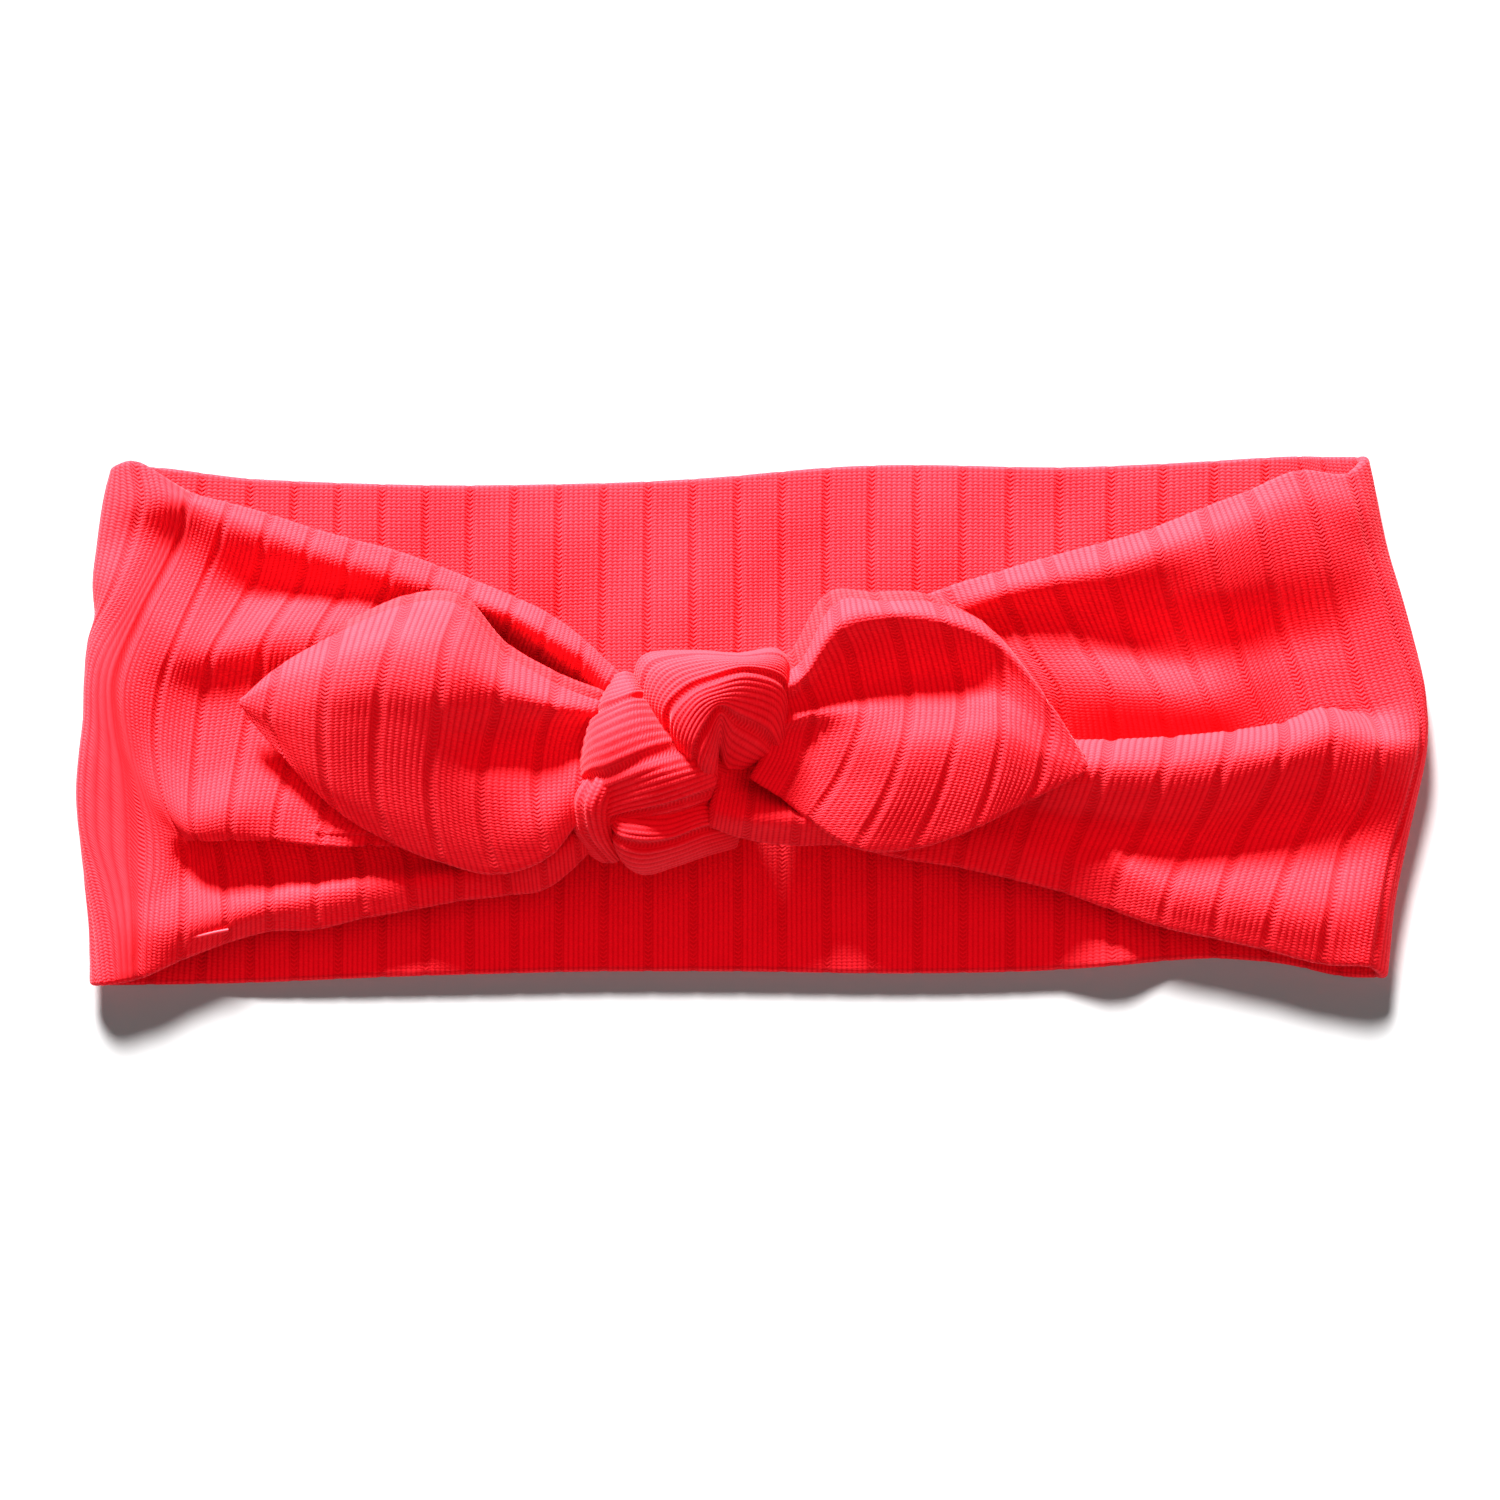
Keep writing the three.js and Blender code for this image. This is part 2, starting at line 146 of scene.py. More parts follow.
RIGHT_FRONT = [
    (16, [(95.5, 43, 10.5), (97.5, 37.5, 12), (100.5, 28, 11.2), (103, 17.5, 8.6), (105, 9.5, 7.2),
        (106.5, 4, 7.2), (108, 1, 8.6), (109, -1, 10.4), (109.5, -5, 13.2), (107.5, -14, 10.6),
        (103.5, -22, 7.8), (101, -33, 10.7), (99.5, -42, 8.8)]),
    (17, [(86.5, 39.5, 10.5), (88.5, 34.5, 12.8), (90.5, 25.5, 11.6), (92.5, 15.5, 8.4),
        (95, 8, 7.2), (97, 1.5, 6.8), (99, 1.5, 8.4), (100.5, 2, 10.6), (101.5, -3, 14),
        (99, -13, 11), (95.5, -21, 7.8), (91.5, -32, 10.5), (89.5, -39.5, 8.8)]),
    (18, [(78.5, 36.5, 10.5), (80, 31.5, 13), (82, 23, 11.6), (84.5, 14, 8.2), (87, 5.5, 8),
        (90.5, -3, 6.6), (91.5, -2, 8.4), (92.5, -0.5, 11.2), (92.5, -5.5, 14.2),
        (89.5, -13, 11.6), (85.5, -20.5, 8.2), (82, -30.5, 10.3), (80.5, -37.5, 8.8)]),
    (19, [(69.5, 33, 10.5), (71, 29, 13), (72.5, 22.5, 11.2), (76, 12, 7.8), (79.5, 3.5, 9.4),
        (82.5, -5, 6.6), (83, -3.5, 8.4), (83.5, -2, 11.2), (82.5, -7, 14.2), (79.5, -15, 11.8),
        (76, -22, 8.4), (73, -29.5, 10.1), (71.5, -35.5, 8.8)]),
    (20, [(61, 30.5, 10.4), (62, 26, 12.8), (64, 20, 10.4), (66.5, 13, 8), (71, 4, 10.2),
        (73.5, -6.5, 6.6), (73.5, -4.5, 8.4), (73, -3, 11.2), (72, -8, 14.2), (69.5, -15, 12),
        (67, -21, 8.6), (64.5, -26, 9.9), (63, -32.5, 8.8)]),
    (21, [(51.5, 28, 10.2), (53, 24, 12.4), (55, 19, 9.6), (58, 13, 9), (62.5, 4.5, 10.4),
        (64.5, -6.5, 6.6), (64, -5, 8.4), (62.5, -3.5, 11.2), (61.5, -8, 14.2), (59.5, -14, 12.2),
        (57.5, -19, 9.2), (55.5, -24, 9.9), (54.5, -29.5, 8.8)]),
    (22, [(43, 25.5, 10), (44, 22, 11.8), (46, 17.5, 9.2), (48.5, 12, 9.4), (53.5, 4, 9.4),
        (55, -6.5, 6.6), (54, -5, 8.4), (52.5, -3.5, 11.2), (51.5, -8, 13), (50, -13, 11.8),
        (48, -17.5, 9.2), (46.5, -22, 9.9), (45, -27, 9)]),
    (23, [(34, 22.5, 9.8), (35.5, 19, 10.6), (37.5, 15, 8.6), (40, 10.5, 8.8), (44, 4, 8.8),
        (45, -5, 7), (44, -4, 8.2), (42.5, -3, 9.2), (41.5, -7, 10), (40, -11.5, 10),
        (38.5, -15.5, 9.6), (37, -20, 9.8), (36, -25, 9.2)]),
    (24, [(26.5, 19, 9.8), (27.5, 15.5, 10.2), (29, 12, 8.8), (31, 8.5, 8.6), (33.5, 3, 8.6),
        (34, -4, 7.6), (33, -3.5, 8.2), (32, -3, 8.8), (31, -6, 9.2), (29.5, -10.5, 9.4),
        (28, -14.5, 9.6), (27, -18.5, 10.4), (26, -23.5, 9.6)]),
    (25, [(18.5, 14, 10.4), (19, 11.5, 10.6), (20, 8.5, 9.4), (21.5, 5, 9), (22.5, 1.5, 8.8),
        (22.5, -3, 8.4), (22, -3.5, 8.6), (21.5, -4.5, 8.6), (20.5, -6.5, 8.4), (19, -10, 8.4),
        (18, -14, 9.4), (16.5, -17.5, 12), (16, -21.5, 10.4)]),
    (26, [(10, 8.5, 12), (10, 6.5, 12), (10.5, 4, 11.2), (11, 2, 10.6), (11, -0.5, 10.2),
        (11, -3, 9.6), (10, -4, 9.4), (9.5, -5, 9), (9, -7, 8.4), (8.5, -10, 8.4),
        (8, -13.5, 10.2), (8, -17, 13.4), (7.5, -21.5, 11.4)]),
    (27, [(2.5, 3.5, 14), (2.5, 2, 14), (2.5, 0.5, 13.4), (2.5, -1, 13), (2, -2.5, 12.6),
        (2, -4, 12.2), (1.5, -5, 11.8), (1, -6.5, 11.4), (1, -8, 10.8), (0.5, -10.5, 10.6),
        (0, -13.5, 12.6), (-0.5, -17, 15), (-1, -20.5, 12.8)]),
    (28, [(-5, 0.5, 16), (-5, -0.5, 16), (-5, -1.5, 16), (-5, -2.5, 16), (-5.5, -4, 16),
        (-5.5, -5, 15.6), (-5.5, -6.5, 15.4), (-6, -7.5, 15.2), (-6, -9, 15), (-6, -10.5, 15),
        (-6.5, -13, 15.4), (-7, -15.5, 16), (-7.5, -18, 15.2)]),
]
LEFT_EAR = [
    (0.25, [(-88.5, 4, 14.7), (-89, 3.5, 14.9), (-89, 3.5, 15), (-89, 3, 15.1), (-89, 2.5, 15),
        (-88.5, 2, 14.9), (-88, 1, 14.7)]),
    (1, [(-82.5, 9, 15.1), (-83, 6.5, 16.7), (-83.5, 4, 16.9), (-84, 1.5, 16.5), (-84, -0.5, 15.7),
        (-83, -3, 14.9), (-81.5, -6.5, 14.3)]),
    (2, [(-72, 15, 16), (-73, 10.5, 21.5), (-74, 5, 22.3), (-74.5, -0.5, 20.5), (-74.5, -6, 18.1),
        (-74, -11.5, 15.7), (-72.5, -15.5, 13.5)]),
    (3, [(-60, 20, 16.9), (-62, 14, 24), (-64, 7, 25.3), (-65, 0, 22.5), (-65.5, -8, 19.1),
        (-65, -15, 16.3), (-63, -21, 13.7)]),
    (4, [(-50.5, 19.5, 17.9), (-53, 12, 25), (-54, 5, 25.9), (-55, -2, 22.7), (-56, -10.5, 19.3),
        (-55.5, -18, 16.5), (-54, -24.5, 13.7)]),
    (5, [(-43, 11.5, 18.3), (-43.5, 6, 23.3), (-44.5, 1, 21.5), (-46, -4.5, 17.9),
        (-47, -11.5, 18.7), (-46.5, -19.5, 16.7), (-44.5, -26.5, 13.9)]),
    (6, [(-34, 6, 19.1), (-34.5, 2.5, 21.9), (-36, -0.5, 18.9), (-37, -5, 15.9),
        (-37.5, -11.5, 17.1), (-37, -18, 17.3), (-35.5, -23.5, 15.3)]),
    (7, [(-26, 2.5, 19.1), (-26.5, 1, 19.3), (-27.5, -1, 17.9), (-29, -4.5, 16.5),
        (-29.5, -8.5, 17.7), (-30, -13, 17.9), (-30, -17.5, 16.5)]),
    (8, [(-21, 1, 18.5), (-21.5, -0.5, 18.5), (-21.5, -2, 18.1), (-22, -4, 17.7),
        (-22.5, -6.5, 17.7),
        (-22.5, -9, 17.7), (-22.5, -12, 17.3)]),
]
RIGHT_EAR = [
    (0.3, [(58, -6.5, 17.7), (58, -7, 17.9), (58.5, -7.5, 18), (58.5, -7.5, 18.1),
        (58.5, -8, 18.1), (58, -8.5, 18), (58, -9, 17.9), (57.5, -9.5, 17.7)]),
    (1, [(51.5, 3.5, 18.2), (52, 2.5, 19.2), (52, 0.5, 19), (52, -2, 18.8), (51.5, -4, 19),
        (51, -6.5, 19.2), (50, -10.5, 18.4), (48, -14, 17.4)]),
    (2, [(42, 15.5, 18.1), (43, 13, 20.3), (43.5, 9.5, 18.6), (43.5, 5, 17.6), (43.5, 1.5, 19),
        (43.5, -3, 20.4), (42, -10, 19.2), (39, -18.5, 16.6)]),
    (3, [(32.5, 20, 18.9), (33.5, 17, 21.7), (34.5, 13, 18.3), (36, 7, 15.1), (36.5, 2, 17.3),
        (35.5, -4, 19.9), (33, -12, 18.5), (28.5, -22, 15.3)]),
    (4, [(23, 20.5, 19.3), (24, 18, 22.5), (25.5, 13.5, 18.5), (27, 7, 14.7), (27.5, 2, 17.3),
        (26.5, -4.5, 20.1), (23.5, -13, 18.5), (18.5, -22, 15.3)]),
    (5, [(14.5, 20, 19.3), (15, 16, 22.7), (17, 11.5, 19.1), (18.5, 5.5, 15.3), (19.5, 1.5, 18.3),
        (18, -4, 18.9), (15, -10.5, 16.9), (10.5, -17, 15.3)]),
    (6, [(8.5, 10, 19.1), (9, 7.5, 21.5), (9.5, 5.5, 19.1), (10.5, 3.5, 17.1), (11, 1, 19.1),
        (10, -2, 16.9), (8.5, -7.5, 16.1), (5.5, -13, 15.5)]),
    (7, [(3.5, 6.5, 19.1), (4, 5, 19.7), (4, 3, 18.9), (4, 1, 18.1), (4, -1, 18.1), (3, -3, 17.3),
        (2, -6, 16.7), (0, -9.5, 16.3)]),
]
MIDDLE_WRAP = [
    (-0.9, [(-24.5, 7.5, 14), (-23.5, 8, 16), (-22, 8.5, 17), (-20.5, 8, 16), (-19.5, 7, 14)]),
    (-0.2, [(-28, 0.5, 13.5), (-26, 3, 19.5), (-23.5, 4, 22.5), (-20.5, 5, 22.5),
        (-18.5, 5, 18.5)]),
    (0.25, [(-30, -4, 12.5), (-28, -1, 20), (-24.5, 1, 24), (-20.5, 2.5, 24.5),
        (-16.5, 2.5, 20.5)]),
    (0.6, [(-31, -9, 12), (-28.5, -5.5, 20.5), (-24.5, -3.5, 25), (-19, -1.5, 25.5),
        (-14.5, -1, 21.5)]),
    (1, [(-31, -14, 11.5), (-28.5, -10.5, 19.5), (-25, -9.5, 23.5), (-18, -6.5, 25.8),
        (-11.5, -4.5, 22)]),
    (1.35, [(-30.5, -18, 11), (-28, -15, 18), (-25, -13, 21), (-16, -10, 25.2), (-8.5, -8, 21.5)]),
    (1.75, [(-29, -20.5, 10.5), (-27, -18.5, 15.5), (-24.5, -16, 19.5), (-15, -13.5, 23.4),
        (-6.5, -10.5, 19.5)]),
    (2.2, [(-26.5, -22.5, 9.5), (-25.5, -21, 13), (-24, -18, 17.5), (-14.5, -16, 20.5),
        (-7.5, -14, 17.5)]),
    (2.5, [(-25, -23.5, 8.5), (-24.5, -22, 11), (-23, -19, 14.5), (-14.5, -17, 16.5),
        (-8.5, -15, 14.5)]),
]
UPPER_WRAP = [
    (-0.5, [(-17.5, -0.5, 14.5), (-20, 5, 16), (-19, 11, 17), (-11, 12, 17.5), (-2.5, 11.5, 17),
        (5, 12, 16.5), (7.5, 5, 15)]),
    (0.3, [(-16, -3, 18), (-18, 3.5, 22), (-16, 8.5, 23.5), (-9.5, 10.5, 24), (-1.5, 10.5, 23.5),
        (5.5, 10, 20.5), (7, 3.5, 16.5)]),
    (1, [(-14, -5, 20.8), (-14.5, 1, 25), (-11, 5, 26.4), (-6.5, 7, 26.6), (-0.5, 8.5, 25.6),
        (5.5, 6.5, 21.5), (6.5, 0.5, 17)]),
    (1.5, [(-12, -7, 21.4), (-12, -2.5, 25.4), (-9.5, 2, 27), (-6, 4, 27), (-1, 4.5, 25.2),
        (4.5, 2.5, 21.3), (6, -3, 16.6)]),
    (2, [(-10, -8.5, 21), (-9.5, -5, 25), (-8, -1.5, 26), (-5.5, 2, 26.2), (-2.5, 0, 23.8),
        (2, -2.5, 20.5), (4.5, -5.5, 16)]),
    (2.4, [(-8, -10, 19.4), (-8, -8, 22.8), (-7, -5, 23.6), (-5.5, -0.5, 24.6), (-4, -4, 20.8),
        (-1, -6, 18.6), (1.5, -7, 15.4)]),
    (2.75, [(-6.5, -11.5, 16), (-6, -10, 18), (-6, -8.5, 19), (-5.5, -4, 22), (-4.5, -8, 17.6),
        (-3, -8.5, 16.4), (-1, -8.5, 14.4)]),
]
LOWER_LOBE = [
    (0.2, [(-24.5, -11.5, 14), (-23.5, -14, 17), (-19.5, -15, 18.5), (-14.5, -15, 18.5),
        (-8.5, -14, 17), (-4.5, -15, 12.5)]),
    (0.65, [(-25, -14.5, 13), (-23.5, -18, 18.4), (-19.5, -19, 20.4), (-14.5, -19, 20),
        (-8.5, -17, 18), (-3.5, -17, 13)]),
    (1.15, [(-25, -18, 12), (-23.5, -21.5, 17), (-19, -23, 18.6), (-13.5, -22, 18.4),
        (-8, -20, 16.4),
        (-2.5, -19, 12.4)]),
    (1.6, [(-24, -21.5, 11), (-22, -25, 13.4), (-18.5, -26, 14.4), (-13, -24.5, 14.2),
        (-7.5, -22.5, 13.4), (-2.5, -21, 11)]),
    (1.9, [(-23, -23.5, 9.5), (-21, -26, 10), (-18, -27, 10.4), (-13, -25.5, 10.4),
        (-7, -23.5, 10), (-3, -22.5, 9.4)]),
]
LEFT_ROLL = [
    (0.1, [(-26, -9, 12), (-28.5, -10.5, 12), (-30.5, -13, 11.5), (-31, -15.5, 11),
        (-30, -18.5, 10.5), (-28, -21.5, 10), (-25.5, -23.5, 9.5)]),
    (0.8, [(-25.5, -9, 17), (-27.5, -11.5, 18), (-29, -14, 17.6), (-29, -16.5, 16.4),
        (-28.5, -19, 15), (-26.5, -21.5, 13), (-25, -23.5, 10.5)]),
    (1.35, [(-25, -9.5, 20), (-26, -12, 20.6), (-27, -14.5, 20), (-27, -17, 18.4),
        (-26.5, -19.5, 16.4), (-25.5, -21.5, 14), (-24, -23.5, 10.5)]),
    (1.8, [(-24, -11, 17), (-25, -13.5, 17), (-25, -15.5, 16.4), (-25, -17.5, 15),
        (-25, -19.5, 13.4), (-24.5, -21.5, 12), (-23.5, -23, 10)]),
]

# The first and last stripes of the front lie on the turn of the fold.
LEFT_TURN = [(-107.5, 44.4, 9.2), (-106.5, 38, 10.2), (-108, 32, 8.6), (-111.5, 22.5, 9.6)]
RIGHT_TURN = [
    (104.5, 42.5, 9.2), (106, 37, 10.4), (108, 29.5, 9.2), (110.5, 22, 8.4), (113, 14, 7.8),
    (115.5, 7, 7.8), (116.5, 2.5, 8), (117, -1.5, 8.4), (116.5, -6, 9), (114.5, -14, 8.8),
    (112, -23, 8.4), (110, -33, 9.4), (108.5, -42.5, 8.8)]

# Where the band turns back on itself, seen from above: (x, y) of the outermost line.
LEFT_RIM = [
    (-112, 43.5), (-113.2, 38), (-114.2, 31), (-115, 22.5), (-115.9, 14), (-116.5, 7),
    (-116.7, 0), (-117.4, -6.5), (-117.8, -13), (-117.3, -20), (-116.6, -27.5),
    (-115.7, -36), (-115.6, -45.5)]
RIGHT_RIM = [
    (107.9, 45.2), (109.2, 38.5), (111, 30), (113.4, 22), (115.6, 14), (117.3, 7), (117.9, 1.5),
    (118, -2), (117.6, -7), (116, -14.5), (114, -23.5), (112.2, -33), (111.2, -44.2)]
RIM_HEIGHT = 4.8
RIM_RADIUS = 4.7

# The back lies on the table. Its stripes, then its upper and lower edges.
BACK_STRIPES = [(-11, -87.6), (-6, -49.2), (0, -2.4), (3, 21.1), (6, 45.2), (9, 72), (11, 89.9)]
BACK_UPPER = [(-112, 42.8), (-68, 40.4), (-6, 41.5), (13, 43.2), (60, 43.4), (108, 46.1)]
BACK_LOWER = [(-115, -46.1), (-34, -43.2), (61, -42.4), (81, -40.8), (111, -44.6)]


def spline(knots, values, at):
    """Smooth curve through the values at the knots, read at the places asked for."""
    knots = np.asarray(knots, float)
    values = np.asarray(values, float)
    flat = values.reshape(len(knots), -1)
    slope = np.gradient(flat, knots, axis=0)
    at = np.asarray(at, float)
    i = np.clip(np.searchsorted(knots, at) - 1, 0, len(knots) - 2)
    h = (knots[i + 1] - knots[i])[:, None]
    t = ((at - knots[i])[:, None]) / h
    a = flat[i] * (1 + 2 * t) * (1 - t) ** 2
    b = slope[i] * h * t * (1 - t) ** 2
    c = flat[i + 1] * t ** 2 * (3 - 2 * t)
    d = slope[i + 1] * h * t ** 2 * (t - 1)
    return (a + b + c + d).reshape((len(at),) + values.shape[1:])


def curve_y(points, x):
    xs, ys = zip(*points)
    return spline(xs, ys, np.clip([x], xs[0], xs[-1]))[0]


def places_along(start, end):
    """Places along the knit where a ring of points goes: wale tops, valleys and drop lines."""
    one = [0, 0.035, 0.07]
    wide = 1 - 2 * DROP_HALF
    for k in range(WALES * 4 + 1):
        one.append(DROP_HALF + wide * k / (WALES * 4))
    one += [0.93, 0.965]
    found = []
    for n in range(math.floor(start), math.ceil(end) + 1):
        found += [n + f for f in one if start + 0.004 < n + f < end - 0.004]
    return np.array([start] + found + [end])


def relief(places):
    """Height of the knit over its mean surface, by place along it."""
    f = places - np.floor(places)
    near = np.minimum(f, 1 - f)
    drop = -DROP_DEPTH * np.exp(-(near / 0.08) ** 4)
    k = np.clip((f - DROP_HALF) / (1 - 2 * DROP_HALF), 0, 1) * WALES
    wale = WALE_HEIGHT * np.abs(np.sin(math.pi * k)) ** 0.8
    return drop + np.where(near > DROP_HALF, wale, 0)


def unit(a):
    return a / np.maximum(np.linalg.norm(a, axis=-1, keepdims=True), 1e-9)


def smoothed(field, reach, axis):
    """Running mean of a field of directions, so that tight folds don't turn the lining over."""
    pad = [(0, 0)] * field.ndim
    pad[axis] = (reach + 1, reach)
    total = np.cumsum(np.pad(field, pad, mode="edge"), axis=axis)
    count = field.shape[axis]
    high = np.take(total, np.arange(2 * reach + 1, 2 * reach + 1 + count), axis=axis)
    low = np.take(total, np.arange(count), axis=axis)
    return unit(high - low)


def surface(rows, places, per_row=STEP_ACROSS):
    """Outer face as a grid, from rows of (place, x, y, z) control points."""
    lines = []
    for row in rows:
        row = np.array(row, float)
        lines.append(spline(row[:, 0], row[:, 1:], places))
    lines = np.array(lines)
    count = (len(rows) - 1) * per_row + 1
    grid = spline(np.arange(len(rows)), lines, np.linspace(0, len(rows) - 1, count))
    return grid.transpose(1, 0, 2)


def deeper(net, level, gain):
    """The same cloth with its folds made deeper about a level height, away from the side turns."""
    made = []
    for place, line in net:
        least = LEAST_NEAR_TURN if abs(place) < TURN_PLACE else LEAST_ELSEWHERE
        made.append((place, [(x, y, max(least, level + (z - level) * gain)) for x, y, z in line]))
    return made


def rows_of(net):
    return [[(place,) + tuple(line[r]) for place, line in net] for r in range(len(net[0][1]))]


def make_mesh(name, points, faces, uv, material):
    """A smooth mesh of four-sided faces, from points in millimetres."""
    mesh = bpy.data.meshes.new(name)
    mesh.vertices.add(len(points))
    mesh.vertices.foreach_set("co", (np.asarray(points, float) * MM).astype(np.float32).ravel())
    faces = np.asarray(faces, np.int32)
    mesh.loops.add(faces.size)
    mesh.loops.foreach_set("vertex_index", faces.ravel())
    mesh.polygons.add(len(faces))
    mesh.polygons.foreach_set("loop_start", np.arange(0, faces.size, 4, dtype=np.int32))
    mesh.polygons.foreach_set("use_smooth", np.ones(len(faces), bool))
    layer = mesh.uv_layers.new(name="fabric")
    layer.data.foreach_set("uv", uv[faces.ravel()].astype(np.float32).ravel())
    mesh.update(calc_edges=True)
    mesh.validate()
    mesh.materials.append(material)
    obj = bpy.data.objects.new(name, mesh)
    bpy.context.scene.collection.objects.link(obj)
    return obj


def flat_tube(name, grid, places, thick, material, side=1, ribs=1):
    """A doubled cloth piece: outer face, rolled edge, inner face, rolled edge, closed ends."""
    along = np.gradient(grid, axis=0)
    across = unit(np.gradient(grid, axis=1))
    normal = unit(np.cross(along, across)) * side
    count = grid.shape[1]
    inset = np.minimum(np.arange(count), np.arange(count)[::-1]) / 3
    share = RIM_RELIEF + (1 - RIM_RELIEF) * np.clip(inset, 0, 1)
    bump = ribs * relief(places)[:, None, None] * share[None, :, None]
    outer = grid + normal * bump
    inward = smoothed(smoothed(normal, LINING_REACH, 1), LINING_REACH * 2, 0)
    inner = grid - inward * thick - normal * bump
    fade = relief(places) * RIM_RELIEF
    rims = []
    for j, way in ((-1, 1), (0, -1)):
        n = inward[:, j]
        out = unit(across[:, j] * way)
        mid = grid[:, j] - n * thick / 2
        arc = []
        for k in range(1, EDGE_STEPS + 1):
            t = math.pi * k / (EDGE_STEPS + 1)
            reach = thick / 2 + fade[:, None]
            arc.append(mid + reach * (math.cos(t) * n + math.sin(t) * out))
        rims.append(np.array(arc).transpose(1, 0, 2))
    ring = np.concatenate([outer, rims[0], inner[:, ::-1], rims[1][:, ::-1]], axis=1)
    nu, nr = ring.shape[:2]
    nv = grid.shape[1]
    steps = np.linalg.norm(np.diff(grid, axis=1), axis=2)
    reach = np.concatenate([np.zeros((nu, 1)), np.cumsum(steps, axis=1)], axis=1)
    reach -= reach[:, nv // 2:nv // 2 + 1]
    turn = math.pi * thick / 2 / (EDGE_STEPS + 1)
    low = reach[:, -1:] + turn * np.arange(1, EDGE_STEPS + 1)
    high = reach[:, :1] - turn * np.arange(EDGE_STEPS, 0, -1)
    v = np.concatenate([reach, low, reach[:, ::-1], high], axis=1)
    uv = np.stack([np.repeat(places[:, None] * STRIPE, nr, axis=1), v], axis=2).reshape(-1, 2)
    i = np.arange(nu - 1)[:, None]
    j = np.arange(nr)[None, :]
    k = (j + 1) % nr
    quads = np.stack([i * nr + j, (i + 1) * nr + j, (i + 1) * nr + k, i * nr + k], axis=2)
    quads = quads.reshape(-1, 4)
    caps = []
    for ring_no, flip in ((0, False), (nu - 1, True)):
        base = ring_no * nr
        half = EDGE_STEPS // 2
        pairs = [(nr - half + e, nr - half - 1 - e) for e in range(half)]
        pairs += [(m, nr - EDGE_STEPS - 1 - m) for m in range(nv)]
        pairs += [(nv + e, nv + EDGE_STEPS - 1 - e) for e in range(half)]
        for (p, q), (r, s) in zip(pairs[:-1], pairs[1:]):
            quad = [base + p, base + r, base + s, base + q]
            caps.append(quad[::-1] if flip else quad)
    faces = np.concatenate([quads, np.array(caps)])
    if side < 0:
        faces = faces[:, ::-1]
    return make_mesh(name, ring.reshape(-1, 3), faces, uv, material)


# ---------------------------------------------------------------- materials
def knit_material(name, knit_colour, painted_shade):
    material = bpy.data.materials.new(name)
    material.use_nodes = True
    nodes, links = material.node_tree.nodes, material.node_tree.links
    shader = nodes["Principled BSDF"]
    shader.inputs["Roughness"].default_value = 0.82
    shader.inputs["Specular IOR Level"].default_value = 0.25
    shader.inputs["Sheen Weight"].default_value = 0.3
    shader.inputs["Sheen Roughness"].default_value = 0.42
    shader.inputs["Sheen Tint"].default_value = (1, 0.62, 0.66, 1)
    fabric = nodes.new("ShaderNodeUVMap")
    fabric.uv_map = "fabric"
    split = nodes.new("ShaderNodeSeparateXYZ")
    links.new(fabric.outputs[0], split.inputs[0])

    def maths(kind, a, b=None):
        node = nodes.new("ShaderNodeMath")
        node.operation = kind
        for socket, value in zip(node.inputs, (a, b)):
            if value is None:
                continue
            if isinstance(value, (int, float)):
                socket.default_value = value
            else:
                links.new(value, socket)
        return node.outputs[0]

    x, y = split.outputs[0], split.outputs[1]
    part = maths("FRACT", maths("ADD", maths("DIVIDE", x, STRIPE), 1000.0))
    near = maths("MINIMUM", part, maths("SUBTRACT", 1.0, part))
    drop = maths("LESS_THAN", near, 0.075)
    # courses: rows of stitches across the wales, and a zigzag of loose loops in a drop line
    wale = maths("MULTIPLY", maths("SUBTRACT", part, DROP_HALF), WALES / (1 - 2 * DROP_HALF))
    lean = maths("ABSOLUTE", maths("SUBTRACT", maths("FRACT", wale), 0.5))
    row = maths("SUBTRACT", y, maths("MULTIPLY", lean, 0.5))
    course = maths("SINE", maths("MULTIPLY", row, 10.5))
    zigzag = maths("SINE", maths("ADD", maths("MULTIPLY", y, 8.4), maths("MULTIPLY", near, 46.0)))
    fuzz = nodes.new("ShaderNodeTexNoise")
    fuzz.inputs["Scale"].default_value = 2.2
    fuzz.inputs["Detail"].default_value = 3
    links.new(fabric.outputs[0], fuzz.inputs["Vector"])
    cloudy = nodes.new("ShaderNodeTexNoise")
    cloudy.inputs["Scale"].default_value = 0.16
    cloudy.inputs["Detail"].default_value = 2
    links.new(fabric.outputs[0], cloudy.inputs["Vector"])
    stitches = maths("ADD", maths("MULTIPLY", course, 0.35),
                     maths("MULTIPLY", fuzz.outputs[0], 1.3))
    loops = maths("MULTIPLY", zigzag, 0.9)
    plain = maths("MULTIPLY", stitches, maths("SUBTRACT", 1.0, drop))
    height = maths("ADD", plain, maths("MULTIPLY", loops, drop))
    bump = nodes.new("ShaderNodeBump")
    bump.inputs["Strength"].default_value = 0.55
    bump.inputs["Distance"].default_value = 0.00016
    links.new(height, bump.inputs["Height"])
    links.new(bump.outputs[0], shader.inputs["Normal"])
    # painted shade: the colour is mixed toward the darker second colour in the dropped-needle
    # grooves, more along the zigzag of loose loops there, and in the valleys between wales
    mix = nodes.new("ShaderNodeMix")
    mix.data_type = "RGBA"
    mix.inputs[6].default_value = knit_colour
    mix.inputs[7].default_value = painted_shade
    share = maths("MULTIPLY", drop, maths("ADD", 0.34, maths("MULTIPLY", zigzag, 0.22)))
    painted_valley_shade = maths("MULTIPLY", maths("MULTIPLY", lean, lean), 2.2)
    share = maths("ADD", share, maths("MULTIPLY", painted_valley_shade, maths("SUBTRACT", 1.0, drop)))
    tone = maths("MULTIPLY", maths("SUBTRACT", cloudy.outputs[0], 0.5), 0.35)
    links.new(maths("MAXIMUM", maths("ADD", share, tone), 0.0), mix.inputs[0])
    links.new(mix.outputs[2], shader.inputs["Base Color"])
    return material
